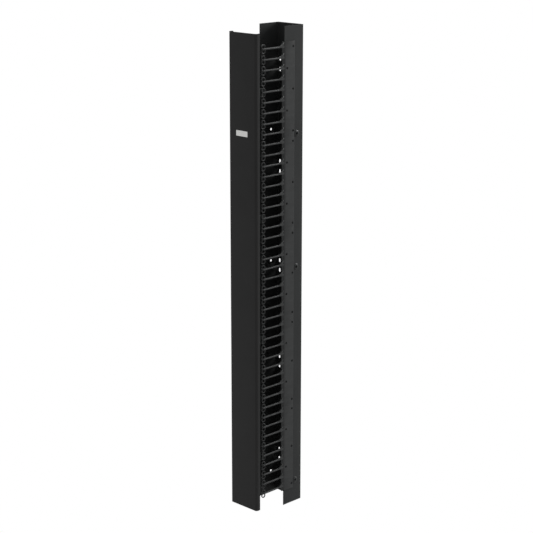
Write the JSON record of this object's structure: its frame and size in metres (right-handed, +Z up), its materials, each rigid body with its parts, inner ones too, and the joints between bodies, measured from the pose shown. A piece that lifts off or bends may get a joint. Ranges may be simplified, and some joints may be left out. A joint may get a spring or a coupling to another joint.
{
  "type": "vertical cable manager",
  "caption": "Tall rack-side cable channel with comb fingers down both front edges, flexible loops at the finger tips and a lift-off front cover.",
  "frame": {"origin": "middle of the channel's back face, half way up and half way across, on the plane that bolts to the rack", "axes": "+X to the right as seen from the front, +Y to the rack behind, +Z up along the channel; the cover is at -Y"},
  "size_m": [0.1618, 0.2878, 2.1336],
  "materials": {
    "channel_steel": "satin black powder coat",
    "cover_steel": "fine-textured black powder coat",
    "comb_plastic": "moulded black nylon, satin",
    "rivet_plastic": "moulded black nylon",
    "clip_plastic": "moulded black nylon, matt"
  },
  "bodies": {
    "frame": {"back_channel": "channel_steel", "finger_strip_right_1": "comb_plastic", "finger_strip_right_2": "comb_plastic", "finger_strip_right_3": "comb_plastic", "finger_strip_right_4": "comb_plastic", "finger_strip_right_5": "comb_plastic", "finger_strip_left_1": "comb_plastic", "finger_strip_left_2": "comb_plastic", "finger_strip_left_3": "comb_plastic", "finger_strip_left_4": "comb_plastic", "finger_strip_left_5": "comb_plastic", "strip_rivets_right_1": "rivet_plastic", "strip_rivets_right_2": "rivet_plastic", "strip_rivets_right_3": "rivet_plastic", "strip_rivets_right_4": "rivet_plastic", "strip_rivets_right_5": "rivet_plastic", "strip_rivets_left_1": "rivet_plastic", "strip_rivets_left_2": "rivet_plastic", "strip_rivets_left_3": "rivet_plastic", "strip_rivets_left_4": "rivet_plastic", "strip_rivets_left_5": "rivet_plastic", "cover_clip_right_1": "clip_plastic", "cover_clip_right_2": "clip_plastic", "cover_clip_right_3": "clip_plastic", "cover_clip_right_4": "clip_plastic", "cover_clip_left_1": "clip_plastic", "cover_clip_left_2": "clip_plastic", "cover_clip_left_3": "clip_plastic", "cover_clip_left_4": "clip_plastic"},
    "cover": {"front_cover": "cover_steel"}
  },
  "joints": [
    {"name": "cover_lift_off", "type": "slide", "parent": "frame", "child": "cover", "axis": [0, -1, 0], "range_m": [0, 0.1]}
  ]
}
